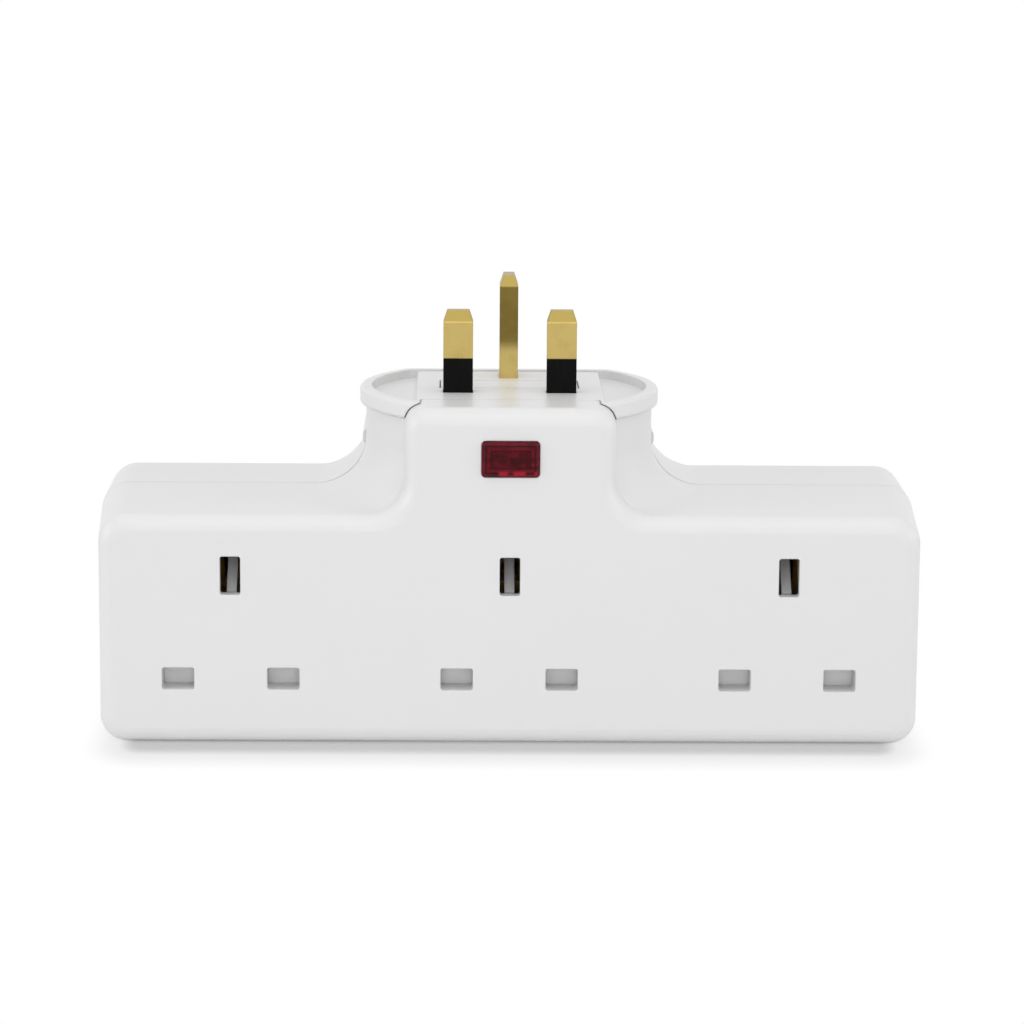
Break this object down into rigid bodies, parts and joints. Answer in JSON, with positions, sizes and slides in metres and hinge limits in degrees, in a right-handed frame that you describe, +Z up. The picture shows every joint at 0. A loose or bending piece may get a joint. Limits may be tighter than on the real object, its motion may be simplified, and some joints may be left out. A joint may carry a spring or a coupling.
{
  "type": "multi socket adapter",
  "caption": "T-shaped mains adaptor: a bar of shuttered square-pin sockets, a stem with a red neon window and a round fused plug tower with flat pins on top.",
  "frame": {"origin": "middle of the flat underside, below the middle of the whole box", "axes": "+X to the right along the bar as seen from the sockets, +Y back from the socket face, +Z up along the plug pins"},
  "size_m": [0.1784, 0.0672, 0.0947],
  "materials": {
    "white_plastic": "glossy moulded white",
    "shutter_plastic": "satin moulded white",
    "grey_plastic": "satin moulded grey",
    "black_plastic": "satin moulded black",
    "brass": "stamped and polished",
    "red_lens": "clear tinted, glossy",
    "lamp_glass": "clear glass",
    "ceramic": "dull fired",
    "plated_steel": "tin plated",
    "spring_steel": "drawn wire",
    "screw_steel": "zinc plated"
  },
  "bodies": {
    "case": {"front_shell": "white_plastic", "rear_shell": "white_plastic", "plug_base": "white_plastic", "line_pin": "brass", "line_pin_sleeve": "black_plastic", "neutral_pin": "brass", "neutral_pin_sleeve": "black_plastic", "earth_pin": "brass", "fuse_clips": "brass", "line_strap": "brass", "line_link": "brass", "neutral_link": "brass", "earth_link": "brass", "line_bar": "brass", "neutral_bar": "brass", "earth_bar": "brass", "contact_carrier": "grey_plastic", "neon_lens": "red_lens", "neon_lamp": "lamp_glass", "neon_leads": "plated_steel", "neon_resistor": "ceramic", "case_screws": "screw_steel", "carrier_screws": "screw_steel", "tower_screws": "screw_steel", "left_spring": "spring_steel", "middle_spring": "spring_steel", "right_spring": "spring_steel"},
    "fuse_drawer": {"fuse_carrier": "white_plastic", "fuse_tube": "ceramic", "fuse_caps": "plated_steel"},
    "left_shutter": {"left_shutter": "shutter_plastic"},
    "middle_shutter": {"middle_shutter": "shutter_plastic"},
    "right_shutter": {"right_shutter": "shutter_plastic"}
  },
  "joints": [
    {"name": "left_shutter_slide", "type": "slide", "parent": "case", "child": "left_shutter", "axis": [0, 0, -1], "range_m": [0, 0.0064], "stiffness_N_per_m": 80, "springref_m": -0.004, "deforming": ["left_spring"]},
    {"name": "middle_shutter_slide", "type": "slide", "parent": "case", "child": "middle_shutter", "axis": [0, 0, -1], "range_m": [0, 0.0064], "stiffness_N_per_m": 80, "springref_m": -0.004, "deforming": ["middle_spring"]},
    {"name": "right_shutter_slide", "type": "slide", "parent": "case", "child": "right_shutter", "axis": [0, 0, -1], "range_m": [0, 0.0064], "stiffness_N_per_m": 80, "springref_m": -0.004, "deforming": ["right_spring"]},
    {"name": "fuse_drawer_slide", "type": "slide", "parent": "case", "child": "fuse_drawer", "axis": [0, 0, 1], "range_m": [0, 0.012]}
  ]
}
